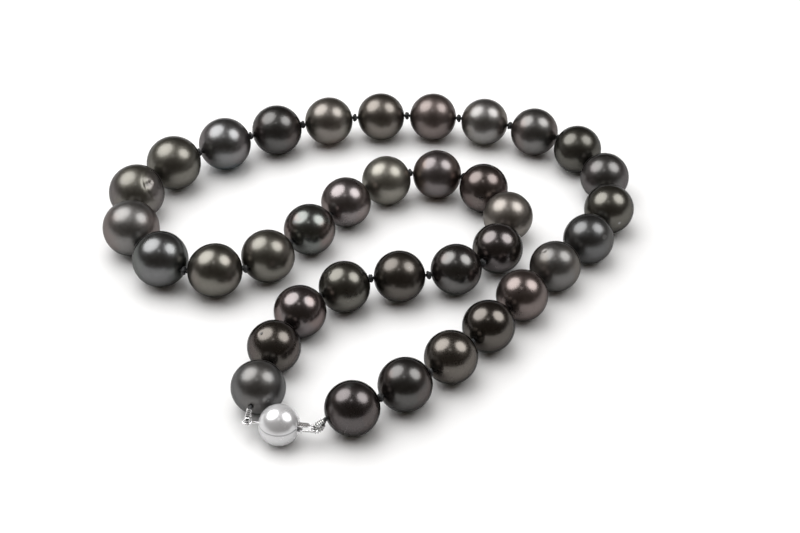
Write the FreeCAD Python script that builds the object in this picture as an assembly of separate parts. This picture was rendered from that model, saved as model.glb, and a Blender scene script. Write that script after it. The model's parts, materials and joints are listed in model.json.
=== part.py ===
"""Pearl necklace with a ball clasp, lying clasped on a flat surface.

Millimetres, +Z up, surface at Z = 0.  The strand starts at the clasp's tongue, runs round the
loop and comes back to the clasp's ball.  Pearls and thread sections are numbered that way.
Each pearl turns on the silk thread, and every gap between two pearls holds one knot.
"""
import FreeCAD
import Part

import math
import os

Vector = FreeCAD.Vector

# Pearls
PEARL_COUNT = 36
END_PEARL_D = 10.8          # diameter beside the clasp
GRADUATION = 1.5            # how much wider the largest pearl is
LARGEST_PEARL = 18.5        # place along the strand where the sizes peak
SIZE_RISE = 2.6             # pearls over which the sizes swell before the peak
SIZE_FALL = 4.4             # pearls over which they shrink after it
DRILL_CHAMFER = 0.12        # eased edge of the drilled hole

# Silk thread
THREAD_D = 0.70
THREAD_PLAY = 0.05          # all round the thread in a pearl's hole
KNOT_D = 1.10
KNOT_FLAT = 75.0            # latitude of a knot's two flats, from its waist
TIP_SWELL = 0.03            # of thread and French wire where the legs of a loop meet
KNOT_CLEAR = 0.05           # between a knot and the pearl on each side
FLEX_CLEAR = 0.05           # between a knot that flexes and the next section's thread
LOOP_TIP_CLEAR = 0.05       # between a leg of an end loop and the edge of the end pearl's hole
PEARLS_PER_SECTION = 3      # pearls between two knots that flex

# Lay of the strand: each stretch is a number of knots and the degrees it turns, left positive
START_HEADING = 29.0
CLASP_HEADING = -8.0        # direction from the ball to the tongue
LAY = [(3, 25), (3, -4), (4, 106), (4, 38), (3, 26), (3, 102), (2, 84),
       (2, 8), (1, -23), (5, -192), (1, -15), (3, 75), (1, -1)]
CLOSING_STEPS = 8           # repeats of the closing correction

# Ball clasp
BALL_D = 8.0
BALL_WALL = 0.35
SEAM_HEIGHT = 0.85          # of the joint between cup and cap, above the ball's centre
SEAM_GROOVE_R = 0.06
MOUTH_PLATE_T = 0.35
MOUTH_RIM = 0.03            # of the mouth plate beyond the corners of the channel behind it
TONGUE_W = 1.70
LEAF_T = 0.25
LEAF_GAP = 0.40             # between the two leaves at the fold
SLOT_PLAY = 0.10            # round the tongue, on every side of the slot
TAB_RISE = 0.47             # of the spring leaf over its length
LIP_HEIGHT = 0.05           # of the catch lip over the press tab
LIP_LENGTH = 0.30
TAB_W = 1.20
TAB_REACH = 1.85            # of the press tab outside the ball
FOLD_X = -1.40              # inner end of the tongue, from the ball's centre
FOLD_Z = -0.25              # height of the fold's middle, from the ball's centre
HINGE_GAP = 0.03            # between the fold and the spring leaf's root
GUIDE_WALL = 0.20           # of the channel that the tongue slides in
GUIDE_LENGTH = 3.0

# Wire fittings and French wire
WIRE_D = 0.44
WIRE_PLAY = 0.05            # between a fitting's wire and the French wire round it
GIMP_BORE_CLEAR = 0.05      # between the thread and the French wire
GIMP_WALL = 0.15
GIMP_REACH = 2.80           # from a fitting's pivot to the face of the end pearl
GIMP_END_CLEAR = 0.05       # between the French wire and that pearl
BAIL_REACH = 2.60           # of the tongue's bail pivot outside the ball
RING_REACH = 2.20           # of the end ring's centre outside the ball
POST_D = 0.50
WASHER_R = 0.60
WASHER_T = 0.20
TAIL_BLOCK_T = 0.35         # of the block that joins the tongue to its bail
TAIL_BLOCK_GAP = 0.15       # between that block and the ball
BAIL_LIFT = 0.03            # of the bail's wire over the lower leaf

# Sizes that follow
THREAD_R = THREAD_D / 2
DRILL_R = THREAD_R + THREAD_PLAY
RIM_R = DRILL_R + DRILL_CHAMFER
KNOT_R = KNOT_D / 2
KNOT_GAP = KNOT_D + 2 * KNOT_CLEAR
BALL_R = BALL_D / 2
BALL_INNER_R = BALL_R - BALL_WALL
WIRE_R = WIRE_D / 2
GIMP_INNER_R = THREAD_R + GIMP_BORE_CLEAR
GIMP_R = GIMP_INNER_R + GIMP_WALL
GIMP_BEND_R = GIMP_R + WIRE_PLAY + WIRE_R
EYE_R = GIMP_R + WIRE_PLAY + WIRE_R
BAIL_X = BALL_R + BAIL_REACH
RING_X = -BALL_R - RING_REACH
FOLD_R = LEAF_T + LEAF_GAP / 2
LEAF_BOTTOM = FOLD_Z - FOLD_R
LEAF_TOP = LEAF_BOTTOM + LEAF_T
ROOT_TOP = FOLD_Z + FOLD_R
ROOT_BOTTOM = ROOT_TOP - LEAF_T
TAB_TOP = ROOT_TOP + TAB_RISE
TAB_BOTTOM = TAB_TOP - LEAF_T
LIP_TOP = TAB_TOP + LIP_HEIGHT
SLOT_LOW = LEAF_BOTTOM - SLOT_PLAY
SLOT_HIGH = LIP_TOP + SLOT_PLAY
SLOT_W = TONGUE_W + 2 * SLOT_PLAY
GUIDE_HALF_W = SLOT_W / 2 + GUIDE_WALL
GUIDE_FLOOR = SLOT_LOW - GUIDE_WALL
MOUTH_R = math.hypot(GUIDE_HALF_W, max(SLOT_HIGH, -GUIDE_FLOOR)) + MOUTH_RIM
PLATE_BACK = math.sqrt(BALL_INNER_R ** 2 - MOUTH_R ** 2)
PLATE_FRONT = PLATE_BACK + MOUTH_PLATE_T
LIP_FRONT = PLATE_BACK - SLOT_PLAY
BLOCK_X = BALL_R + TAIL_BLOCK_GAP
BAIL_Z = LEAF_TOP + BAIL_LIFT + WIRE_R
SECTION_COUNT = PEARL_COUNT // PEARLS_PER_SECTION
THREAD_GRIP = KNOT_R / 2    # how near each thread comes to the middle of its knot

X_AXIS = Vector(1, 0, 0)
Y_AXIS = Vector(0, 1, 0)
Z_AXIS = Vector(0, 0, 1)


# Layout of the strand

def pearl_radius(number):
    """Half the diameter of a pearl: a swelling about the middle of an even strand."""
    offset = number - LARGEST_PEARL
    width = SIZE_RISE if offset < 0 else SIZE_FALL
    swell = math.exp(-(offset / width) ** 2)
    return (END_PEARL_D + GRADUATION * swell) / 2


def direction(heading):
    """Unit vector in the plan for a heading in degrees."""
    angle = math.radians(heading)
    return Vector(math.cos(angle), math.sin(angle), 0)


def nominal_headings():
    """Heading of each pearl's hole, turning evenly along each stretch of the lay."""
    headings = [START_HEADING]
    for knots, turn in LAY:
        for _ in range(knots):
            headings.append(headings[-1] + turn / knots)
    if len(headings) != PEARL_COUNT:
        raise ValueError("the lay's knots must number one less than the pearls")
    return headings


def links():
    """Length that each pearl takes up along the strand, half of each gap beside it included."""
    lengths = []
    for number in range(1, PEARL_COUNT + 1):
        before = GIMP_REACH if number == 1 else KNOT_GAP / 2
        after = GIMP_REACH if number == PEARL_COUNT else KNOT_GAP / 2
        radius = pearl_radius(number)
        lengths.append((before + radius, radius + after))
    return lengths


def close_loop(headings, lengths):
    """Bend the strand by the least amounts that bring its end to the clasp's ring."""
    goal = direction(CLASP_HEADING) * (RING_X - BAIL_X)
    for _ in range(CLOSING_STEPS):
        end = Vector()
        for heading, length in zip(headings, lengths):
            end += direction(heading) * sum(length)
        miss = goal - end
        steps = [direction(heading + 90) * sum(length) for heading, length in zip(headings, lengths)]
        xx = sum(step.x * step.x for step in steps)
        xy = sum(step.x * step.y for step in steps)
        yy = sum(step.y * step.y for step in steps)
        scale = xx * yy - xy * xy
        push_x = (yy * miss.x - xy * miss.y) / scale
        push_y = (xx * miss.y - xy * miss.x) / scale
        headings = [heading + math.degrees(step.x * push_x + step.y * push_y)
                    for heading, step in zip(headings, steps)]
    return headings


def lay_strand():
    """Pearls as (centre, radius, heading) and knots as points, with the box centred on Z."""
    lengths = links()
    headings = close_loop(nominal_headings(), lengths)
    point = Vector()
    pearls = []
    knots = []
    for index, (heading, (before, after)) in enumerate(zip(headings, lengths)):
        radius = pearl_radius(index + 1)
        centre = point + direction(heading) * before
        pearls.append([Vector(centre.x, centre.y, radius), radius, heading])
        point = centre + direction(heading) * after
        knots.append(point)
    ball = direction(CLASP_HEADING) * -BAIL_X
    spheres = [(centre, radius) for centre, radius, _ in pearls] + [(ball, BALL_R)]
    middle = Vector()
    middle.x = (min(c.x - r for c, r in spheres) + max(c.x + r for c, r in spheres)) / 2
    middle.y = (min(c.y - r for c, r in spheres) + max(c.y + r for c, r in spheres)) / 2
    for pearl in pearls:
        pearl[0] -= middle
    inner_knots = []
    for index in range(PEARL_COUNT - 1):
        height = (pearls[index][1] + pearls[index + 1][1]) / 2
        inner_knots.append(knots[index] - middle + Z_AXIS * height)
    return pearls, inner_knots, ball - middle + Z_AXIS * BALL_R


PEARLS, KNOTS, BALL_CENTRE = lay_strand()


# Small shape helpers

def fuse(shapes):
    """One solid from shapes that overlap or touch."""
    result = shapes[0].multiFuse(shapes[1:])
    return result.removeSplitter()


def box(low, high):
    """Box between two corners given as (x, y, z)."""
    size = [high[i] - low[i] for i in range(3)]
    return Part.makeBox(size[0], size[1], size[2], Vector(*low))


def prism_y(points, width):
    """Outline of (x, z) points, as wide as given and centred on Y = 0."""
    corners = [Vector(x, -width / 2, z) for x, z in points]
    face = Part.Face(Part.makePolygon(corners + corners[:1]))
    return face.extrude(Vector(0, width, 0))


def rod(start, end, radius):
    """Round bar between two points."""
    along = end - start
    return Part.makeCylinder(radius, along.Length, start, along)


def place_clasp(shape):
    """Move a clasp piece from the ball's own frame to where the clasp lies."""
    turn = FreeCAD.Rotation(Z_AXIS, CLASP_HEADING)
    shape.Placement = FreeCAD.Placement(BALL_CENTRE, turn).multiply(shape.Placement)
    return shape


# Pearls

def make_pearl(number):
    """Round pearl with its drilled hole, whose two edges are eased."""
    centre, radius, heading = PEARLS[number - 1]
    along = direction(heading)
    pearl = Part.makeSphere(radius, centre, along)
    reach = along * (radius + KNOT_GAP)
    pearl = pearl.cut(rod(centre - reach, centre + reach, DRILL_R))
    mouth = math.sqrt(radius ** 2 - DRILL_R ** 2)
    for side in (-1, 1):
        outside = centre + along * (side * (mouth + DRILL_CHAMFER))
        cone = Part.makeCone(DRILL_R + 2 * DRILL_CHAMFER, DRILL_R, 2 * DRILL_CHAMFER, outside, along * -side)
        pearl = pearl.cut(cone)
    return pearl


# Thread and French wire

def end_loop(tube_r, eye, hole):
    """Teardrop of tube round a fitting's wire at eye, whose two legs meet at a pearl's hole."""
    to_hole = hole - eye
    spread = math.degrees(math.acos(GIMP_BEND_R / to_hole.Length))
    arc = Part.makeTorus(GIMP_BEND_R, tube_r, Vector(), Z_AXIS, 0, 360, 360 - 2 * spread)
    arc.rotate(Vector(), Z_AXIS, spread)
    legs = []
    for side in (-1, 1):
        start = Vector(math.cos(math.radians(spread)), side * math.sin(math.radians(spread)), 0) * GIMP_BEND_R
        legs.append(rod(start, Vector(to_hole.Length, 0, 0), tube_r))
    tip = Part.makeSphere(tube_r + TIP_SWELL, Vector(to_hole.Length, 0, 0), Z_AXIS, -KNOT_FLAT, KNOT_FLAT, 360)
    loop = fuse([arc, legs[0], legs[1], tip])
    flat = Vector(to_hole.x, to_hole.y, 0)
    upright = FreeCAD.Rotation(X_AXIS, 90)
    tilt = FreeCAD.Rotation(Y_AXIS, -math.degrees(math.atan2(to_hole.z, flat.Length)))
    turn = FreeCAD.Rotation(Z_AXIS, math.degrees(math.atan2(flat.y, flat.x)))
    loop.Placement = FreeCAD.Placement(eye, turn.multiply(tilt).multiply(upright))
    return loop


def loop_points(side):
    """Where a fitting's wire crosses the end loop, where the loop's legs meet, and the end pearl.

    The legs meet just far enough outside the pearl for the steeper one to clear the hole's edge.
    """
    if side == "tongue":
        pivot = BALL_CENTRE + direction(CLASP_HEADING) * BAIL_X + Z_AXIS * BAIL_Z
        pearl = PEARLS[0]
    else:
        pivot = BALL_CENTRE + direction(CLASP_HEADING) * RING_X
        pearl = PEARLS[-1]
    centre, radius, heading = pearl
    outward = 1 if side == "tongue" else -1
    along = direction(heading) * outward
    eye = pivot + along * EYE_R
    hole = centre - along * radius
    for _ in range(CLOSING_STEPS):
        slope = math.asin(abs(hole.z - eye.z) / eye.distanceToPoint(hole))
        steep = slope + math.asin(GIMP_BEND_R / eye.distanceToPoint(hole))
        clear = (THREAD_R + LOOP_TIP_CLEAR - RIM_R * math.cos(steep)) / math.sin(steep)
        hole = centre - along * (radius + clear)
    return eye, hole, pearl


def make_gimp(side):
    """Coiled French wire sleeve that covers one end loop of the thread."""
    eye, hole, (centre, radius, _) = loop_points(side)
    sleeve = end_loop(GIMP_R, eye, hole).cut(end_loop(GIMP_INNER_R, eye, hole))
    return sleeve.cut(Part.makeSphere(radius + GIMP_END_CLEAR, centre))


def make_knot(index):
    """Round knot between two pearls, pulled a little flat above and below."""
    return Part.makeSphere(KNOT_R, KNOTS[index], Z_AXIS, -KNOT_FLAT, KNOT_FLAT, 360)


def make_thread(section):
    """Thread through one section's pearls, with its knots and any end loop, as one solid."""
    first = (section - 1) * PEARLS_PER_SECTION
    last = first + PEARLS_PER_SECTION - 1
    pieces = []
    for index in range(first, last + 1):
        centre, radius, heading = PEARLS[index]
        along = direction(heading)
        before = after = radius + KNOT_GAP / 2 - THREAD_GRIP
        if index == first:
            before = radius + KNOT_CLEAR - FLEX_CLEAR
        if index == 0:
            before = centre.distanceToPoint(loop_points("tongue")[1])
        if index == PEARL_COUNT - 1:
            after = centre.distanceToPoint(loop_points("ball")[1])
        pieces.append(rod(centre - along * before, centre + along * after, THREAD_R))
        if index < PEARL_COUNT - 1:
            pieces.append(make_knot(index))
    if section == 1:
        eye, hole, _ = loop_points("tongue")
        pieces.append(end_loop(THREAD_R, eye, hole))
    if section == SECTION_COUNT:
        eye, hole, _ = loop_points("ball")
        pieces.append(end_loop(THREAD_R, eye, hole))
    return fuse(pieces)


# Ball of the clasp, in its own frame: centre at the origin, tongue towards +X

def ball_shell():
    """Hollow ball with its mouth and its post hole cut through the wall."""
    shell = Part.makeSphere(BALL_R).cut(Part.makeSphere(BALL_INNER_R))
    shell = shell.cut(Part.makeCylinder(MOUTH_R, BALL_R, Vector(), X_AXIS))
    shell = shell.cut(Part.makeCylinder(POST_D / 2, BALL_R, Vector(), X_AXIS * -1))
    seam_r = math.sqrt(BALL_R ** 2 - SEAM_HEIGHT ** 2)
    return shell.cut(Part.makeTorus(seam_r, SEAM_GROOVE_R, Vector(0, 0, SEAM_HEIGHT)))


def make_ball_cup():
    """Lower part of the ball, up to the seam."""
    return ball_shell().common(box((-BALL_R, -BALL_R, -BALL_R), (BALL_R, BALL_R, SEAM_HEIGHT)))


def make_ball_cap():
    """Upper part of the ball, above the seam."""
    return ball_shell().common(box((-BALL_R, -BALL_R, SEAM_HEIGHT), (BALL_R, BALL_R, BALL_R)))


def make_mouth_plate():
    """Disc that closes the mouth, with the slot that the tongue goes through."""
    plate = Part.makeCylinder(MOUTH_R, MOUTH_PLATE_T, Vector(PLATE_BACK, 0, 0), X_AXIS)
    slot = box((PLATE_BACK, -SLOT_W / 2, SLOT_LOW), (PLATE_FRONT, SLOT_W / 2, SLOT_HIGH))
    return plate.cut(slot)


def make_guide():
    """Channel behind the mouth plate that keeps the tongue straight."""
    back = PLATE_BACK - GUIDE_LENGTH
    outer = box((back, -GUIDE_HALF_W, GUIDE_FLOOR), (PLATE_BACK, GUIDE_HALF_W, ROOT_BOTTOM))
    inner = box((back, -SLOT_W / 2, SLOT_LOW), (PLATE_BACK, SLOT_W / 2, ROOT_BOTTOM))
    return outer.cut(inner)


def make_end_ring():
    """Wire ring on a post that is riveted through the ball's wall."""
    ring = Part.makeTorus(EYE_R, WIRE_R, Vector(RING_X, 0, 0))
    inner_end = -BALL_INNER_R + 2 * WASHER_T
    post = rod(Vector(RING_X + EYE_R, 0, 0), Vector(inner_end, 0, 0), POST_D / 2)
    return fuse([ring, post])


def make_washer():
    """Washer on the post, inside the ball."""
    seat = -math.sqrt(BALL_INNER_R ** 2 - WASHER_R ** 2)
    washer = Part.makeCylinder(WASHER_R, WASHER_T, Vector(seat, 0, 0), X_AXIS)
    hole = Part.makeCylinder(POST_D / 2, WASHER_T, Vector(seat, 0, 0), X_AXIS)
    return washer.cut(hole)


# Tongue of the clasp, in the ball's frame

def make_base_leaf():
    """Lower leaf, its fold at the inner end and the block at the outer end."""
    leaf = box((FOLD_X, -TONGUE_W / 2, LEAF_BOTTOM), (BLOCK_X, TONGUE_W / 2, LEAF_TOP))
    start = Vector(FOLD_X, -TONGUE_W / 2, FOLD_Z)
    fold = Part.makeCylinder(FOLD_R, TONGUE_W, start, Y_AXIS)
    fold = fold.cut(Part.makeCylinder(LEAF_GAP / 2, TONGUE_W, start, Y_AXIS))
    front = box((FOLD_X, -TONGUE_W, -BALL_R), (BALL_R, TONGUE_W, BALL_R))
    half = EYE_R + WIRE_R
    block = box((BLOCK_X, -half, LEAF_BOTTOM), (BLOCK_X + TAIL_BLOCK_T, half, BAIL_Z + WIRE_R))
    return fuse([leaf, fold.cut(front), block])


def make_spring_leaf():
    """Upper leaf that springs up from the fold, with its catch lip."""
    root = FOLD_X + HINGE_GAP
    lip_back = LIP_FRONT - LIP_LENGTH
    outline = [(root, ROOT_BOTTOM), (lip_back, TAB_BOTTOM), (LIP_FRONT, TAB_BOTTOM),
               (LIP_FRONT, LIP_TOP), (lip_back, TAB_TOP), (root, ROOT_TOP)]
    return prism_y(outline, TONGUE_W)


def make_press_tab():
    """Tab that reaches out through the slot, with a rounded end to press on."""
    end = BALL_R + TAB_REACH - TAB_W / 2
    bar = box((LIP_FRONT, -TAB_W / 2, TAB_BOTTOM), (end, TAB_W / 2, TAB_TOP))
    nose = Part.makeCylinder(TAB_W / 2, LEAF_T, Vector(end, 0, TAB_BOTTOM))
    return fuse([bar, nose])


def make_bail():
    """Wire bail at the outer end of the tongue."""
    bend = Part.makeTorus(EYE_R, WIRE_R, Vector(), Z_AXIS, 0, 360, 180)
    bend.rotate(Vector(), Z_AXIS, -90)
    bend.translate(Vector(BAIL_X, 0, BAIL_Z))
    legs = []
    for side in (-1, 1):
        start = Vector(BLOCK_X + TAIL_BLOCK_T, side * EYE_R, BAIL_Z)
        legs.append(rod(start, Vector(BAIL_X, side * EYE_R, BAIL_Z), WIRE_R))
    return fuse([bend] + legs)


CLASP_PIECES = {
    "clasp_ball_cup": make_ball_cup,
    "clasp_ball_cap": make_ball_cap,
    "clasp_mouth_plate": make_mouth_plate,
    "clasp_guide_channel": make_guide,
    "clasp_end_ring": make_end_ring,
    "clasp_post_washer": make_washer,
    "tongue_base_leaf": make_base_leaf,
    "tongue_spring_leaf": make_spring_leaf,
    "tongue_press_tab": make_press_tab,
    "tongue_bail": make_bail,
}


def make_all():
    """Every piece by its name."""
    pieces = {}
    for number in range(1, PEARL_COUNT + 1):
        pieces[f"pearl_{number:02d}"] = make_pearl(number)
    for section in range(1, SECTION_COUNT + 1):
        pieces[f"thread_{section:02d}"] = make_thread(section)
    for side in ("tongue", "ball"):
        pieces[f"gimp_{side}_side"] = make_gimp(side)
    for name, make in CLASP_PIECES.items():
        pieces[name] = place_clasp(make())
    return pieces


def main():
    """Build every piece, check that it is one sound solid and write it."""
    os.makedirs("parts", exist_ok=True)
    for name, shape in make_all().items():
        if not shape.isValid() or len(shape.Solids) != 1:
            raise ValueError(f"{name} is not one sound solid")
        shape.Solids[0].exportStep(f"parts/{name}.step")
        print(f"{name}: {shape.Volume:.2f} mm3")
    length = sum(2 * pearl_radius(n) for n in range(1, PEARL_COUNT + 1)) + (PEARL_COUNT - 1) * KNOT_GAP
    print(f"strand of pearls and knots {length:.1f} mm, clasp {BAIL_X - RING_X + 2 * GIMP_REACH:.1f} mm")


main()
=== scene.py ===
"""Looks of a knotted black-pearl necklace with a ball clasp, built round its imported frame.

Metres, +Z up, table at Z = 0.  The necklace's places come from the frame: a pearl's middle and
the line of its hole from the joint that turns it, its size from its box, the clasp from its boxes.
"""

import json
import logging
import math
from dataclasses import dataclass, field
from enum import Enum

import bpy
import numpy as np
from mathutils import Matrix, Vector


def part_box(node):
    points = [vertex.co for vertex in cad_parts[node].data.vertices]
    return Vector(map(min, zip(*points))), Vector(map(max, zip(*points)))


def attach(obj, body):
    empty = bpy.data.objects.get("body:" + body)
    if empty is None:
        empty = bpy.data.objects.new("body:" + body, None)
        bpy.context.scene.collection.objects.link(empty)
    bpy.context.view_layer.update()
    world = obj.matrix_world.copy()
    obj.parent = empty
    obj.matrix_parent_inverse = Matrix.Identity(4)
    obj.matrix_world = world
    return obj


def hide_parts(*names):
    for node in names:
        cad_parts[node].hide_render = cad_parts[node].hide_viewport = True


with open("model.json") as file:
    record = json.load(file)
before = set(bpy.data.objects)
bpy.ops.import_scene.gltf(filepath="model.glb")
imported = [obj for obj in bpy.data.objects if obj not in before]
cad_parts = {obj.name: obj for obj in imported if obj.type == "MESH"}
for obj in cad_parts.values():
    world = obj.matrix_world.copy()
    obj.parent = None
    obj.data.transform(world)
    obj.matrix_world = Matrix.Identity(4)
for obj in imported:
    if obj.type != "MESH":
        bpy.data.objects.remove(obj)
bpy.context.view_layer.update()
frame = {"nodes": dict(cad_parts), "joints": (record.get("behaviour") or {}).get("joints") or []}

LOG = logging.getLogger("necklace")
MM = 0.001
PEARL_COUNT = 36
PEARLS_PER_SECTION = 3
SECTION_COUNT = PEARL_COUNT // PEARLS_PER_SECTION
TUBE_END_RINGS = 5
UP = np.array([0.0, 0.0, 1.0])

Array = np.ndarray
Colour = tuple[float, float, float]


class Slot(Enum):
    """Material slots of the record. Each pearl's finish names one, but nothing reads it."""

    AUBERGINE = "pearl_aubergine"
    BRONZE = "pearl_bronze"
    GREEN = "pearl_green"
    SLATE = "pearl_slate"
    SILVER = "pearl_silver"
    SILK = "silk"
    FRENCH_WIRE = "french_wire"
    METAL = "polished_metal"


class Side(Enum):
    """The clasp's two sides, each with its end pearl."""

    TONGUE = "tongue"
    BALL = "ball"


# Vectors and the frame


def unit(vector: Array) -> Array:
    """Vectors of length one along the given ones."""
    return vector / np.linalg.norm(vector, axis=-1, keepdims=True)


def joint_place(name: str) -> tuple[Array, Array]:
    """Where a joint turns.

    Args:
        name: The joint's name in the record.

    Returns:
        Its point in metres and its axis.
    """
    joint = next(j for j in frame["joints"] if j["name"] == name)
    return np.array(joint["pos_m"], float), unit(np.array(joint["axis"], float))


def node_points(name: str) -> Array:
    """Every vertex of a CAD node, one row each."""
    mesh = frame["nodes"][name].data
    flat = np.zeros(len(mesh.vertices) * 3)
    mesh.vertices.foreach_get("co", flat)
    return flat.reshape(-1, 3)


# Surfaces


class Shell:
    """Closed surfaces gathered into one mesh, with every face turned outwards."""

    def __init__(self) -> None:
        """Start with nothing."""
        self.points: list[Array] = []
        self.faces: list[Array] = []
        self.count = 0

    def add_grid(self, grid: Array, loop_rows: bool = False) -> None:
        """Add a tube-like grid: its columns always close round, and its rows may too.

        Rows that don't join end on a point at the middle of each end.

        Args:
            grid: Points as rows x columns x 3.
            loop_rows: Whether the last row joins the first.
        """
        rows, columns = grid.shape[:2]
        index = np.arange(rows * columns).reshape(rows, columns)
        ahead = np.roll(index, -1, axis=1)
        points = [grid.reshape(-1, 3)]
        if loop_rows:
            low, high = index, np.roll(index, -1, axis=0)
            low_ahead, high_ahead = ahead, np.roll(ahead, -1, axis=0)
        else:
            low, high, low_ahead, high_ahead = index[:-1], index[1:], ahead[:-1], ahead[1:]
        faces = [np.stack([low, low_ahead, high_ahead, high], -1).reshape(-1, 4)]
        if not loop_rows:
            for row, order in ((0, -1), (rows - 1, 1)):
                pole = np.full(columns, rows * columns + (row > 0))
                ring = np.stack([index[row], ahead[row], pole, pole], -1)
                ring = ring if order > 0 else ring[:, [1, 0, 2, 3]]
                faces.append(ring)
                points.append(grid[row].mean(0, keepdims=True))
        vertices = np.concatenate(points)
        quads = np.concatenate(faces)
        if self._volume(vertices, quads) < 0:
            quads = quads[:, [1, 0, 3, 2]]
        self.points.append(vertices)
        self.faces.append(quads + self.count)
        self.count += len(vertices)

    @staticmethod
    def _volume(points: Array, quads: Array) -> float:
        """Signed volume: a sixth of the triple products of each face's triangles."""
        a, b, c, d = (points[quads[:, i]] - points.mean(0) for i in range(4))
        first = np.einsum("ij,ij->i", a, np.cross(b, c))
        second = np.einsum("ij,ij->i", a, np.cross(c, d))
        return float((first + second).sum() / 6)

    def piece(self, name: str, finish: bpy.types.Material, sharp_deg: float = 50.0) -> bpy.types.Object:
        """Make the mesh and its object, smooth except across sharp edges.

        Args:
            name: The object's name.
            finish: Its material.
            sharp_deg: Angle past which an edge stays sharp.

        Returns:
            The object, at the origin.
        """
        points = np.concatenate(self.points)
        quads = np.concatenate(self.faces)
        sides = np.where(quads[:, 2] == quads[:, 3], 3, 4)
        keep = np.ones(quads.shape, bool)
        keep[:, 3] = sides == 4
        mesh = bpy.data.meshes.new(name)
        mesh.vertices.add(len(points))
        mesh.vertices.foreach_set("co", points.astype(np.float32).ravel())
        mesh.loops.add(int(sides.sum()))
        mesh.loops.foreach_set("vertex_index", quads[keep].astype(np.int32))
        mesh.polygons.add(len(quads))
        starts = np.concatenate([[0], np.cumsum(sides)[:-1]])
        mesh.polygons.foreach_set("loop_start", starts.astype(np.int32))
        mesh.polygons.foreach_set("loop_total", sides.astype(np.int32))
        mesh.update(calc_edges=True)
        mesh.validate()
        mesh.shade_smooth()
        mesh.set_sharp_from_angle(angle=math.radians(sharp_deg))
        mesh.materials.append(finish)
        made = bpy.data.objects.new(name, mesh)
        bpy.context.scene.collection.objects.link(made)
        LOG.info("%s: %d faces", name, len(quads))
        return made


def path_frames(path: Array, steady: Array) -> tuple[Array, Array]:
    """Two directions square to a path at each of its points.

    Args:
        path: Points along the path.
        steady: A direction that the first one keeps nearest to.

    Returns:
        The first direction, which is the steady one less its part along the path, and the
        second, square to both.
    """
    along = unit(np.gradient(path, axis=0))
    first = unit(steady - along * (along @ steady)[:, None])
    return first, np.cross(along, first)


def tube(path: Array, radius: Array, steady: Array, columns: int, lobes: int = 0,
         depth: float = 0.0, twist: Array | None = None) -> Array:
    """Round or lobed tube: path + radius (cos a first + sin a second).

    The radius dips by depth between each two lobes, and the lobes turn with twist.

    Args:
        path: Points along the middle.
        radius: Radius at each point.
        steady: Direction that the section keeps nearest to.
        columns: Points round the section.
        lobes: Plies of a twisted cord.
        depth: Share of the radius by which the furrows dip.
        twist: Angle of the lobes at each point.

    Returns:
        The grid of points.
    """
    first, second = path_frames(path, steady)
    angle = np.linspace(0, 2 * np.pi, columns, endpoint=False)[None, :]
    reach = np.broadcast_to(radius[:, None], (len(path), columns))
    if lobes:
        turned = angle + twist[:, None]
        reach = reach * (1 - depth * (1 - np.abs(np.cos(turned * lobes / 2))))
    ring = np.cos(angle)[..., None] * first[:, None] + np.sin(angle)[..., None] * second[:, None]
    return path[:, None] + reach[..., None] * ring


def closed_tube(path: Array, radius: float, steady: Array, columns: int) -> Array:
    """Round tube along a path whose last point leads back to its first."""
    padded = np.concatenate([path[-2:], path, path[:2]])
    return tube(padded, np.full(len(padded), radius), steady, columns)[2:-2]


def distances_along(path: Array) -> Array:
    """Distance along a path from its first point to each of its points."""
    return np.concatenate([[0], np.cumsum(np.linalg.norm(np.diff(path, axis=0), axis=1))])


def rounded_tube_ends(path: Array, radius: float) -> tuple[Array, Array]:
    """Path and radii whose two ends close as half balls.

    Args:
        path: Points along the middle.
        radius: The tube's radius.

    Returns:
        The longer path and the radius at each point.
    """
    angle = np.linspace(0.05, 0.5 * np.pi, TUBE_END_RINGS)
    start, end = unit(path[0] - path[1]), unit(path[-1] - path[-2])
    before = path[0] + start * (radius * np.cos(angle))[:, None]
    after = path[-1] + end * (radius * np.cos(angle[::-1]))[:, None]
    end_sizes = radius * np.sin(angle)
    sizes = np.concatenate([end_sizes, np.full(len(path) - 2, radius), end_sizes[::-1]])
    return np.concatenate([before[:-1], path, after[1:]]), sizes


# Shader maths

# Places of a colour Mix node's sockets, whose names repeat
MIX_SHARE, MIX_FIRST, MIX_SECOND, MIX_COLOUR = 0, 6, 7, 2


class Value:
    """A number that varies over a surface. Expressions on it add Math nodes."""

    def __init__(self, shader: "Nodes", socket: bpy.types.NodeSocket) -> None:
        """Wrap an output socket."""
        self.shader = shader
        self.socket = socket

    def _with(self, operation: str, *operands: "Value | float") -> "Value":
        """Result of a Math node with these operands, in this order."""
        sockets = {i: getattr(o, "socket", o) for i, o in enumerate(operands)}
        node = self.shader.node("ShaderNodeMath", {"operation": operation}, sockets)
        return Value(self.shader, node.outputs[0])

    def __add__(self, other: "Value | float") -> "Value":
        """Sum."""
        return self._with("ADD", self, other)

    def __radd__(self, other: float) -> "Value":
        """Sum, with a number first."""
        return self._with("ADD", other, self)

    def __sub__(self, other: "Value | float") -> "Value":
        """Difference."""
        return self._with("SUBTRACT", self, other)

    def __rsub__(self, other: float) -> "Value":
        """Difference, with a number first."""
        return self._with("SUBTRACT", other, self)

    def __mul__(self, other: "Value | float") -> "Value":
        """Product."""
        return self._with("MULTIPLY", self, other)

    def __rmul__(self, other: float) -> "Value":
        """Product, with a number first."""
        return self._with("MULTIPLY", other, self)

    def absolute(self) -> "Value":
        """Size without sign."""
        return self._with("ABSOLUTE", self)

    def ramp(self, low: float, high: float) -> "Value":
        """Smooth rise from nought at low to one at high."""
        settings = {"interpolation_type": "SMOOTHSTEP"}
        sockets = {"Value": self.socket, "From Min": low, "From Max": high}
        return Value(self.shader, self.shader.node("ShaderNodeMapRange", settings, sockets).outputs[0])


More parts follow.
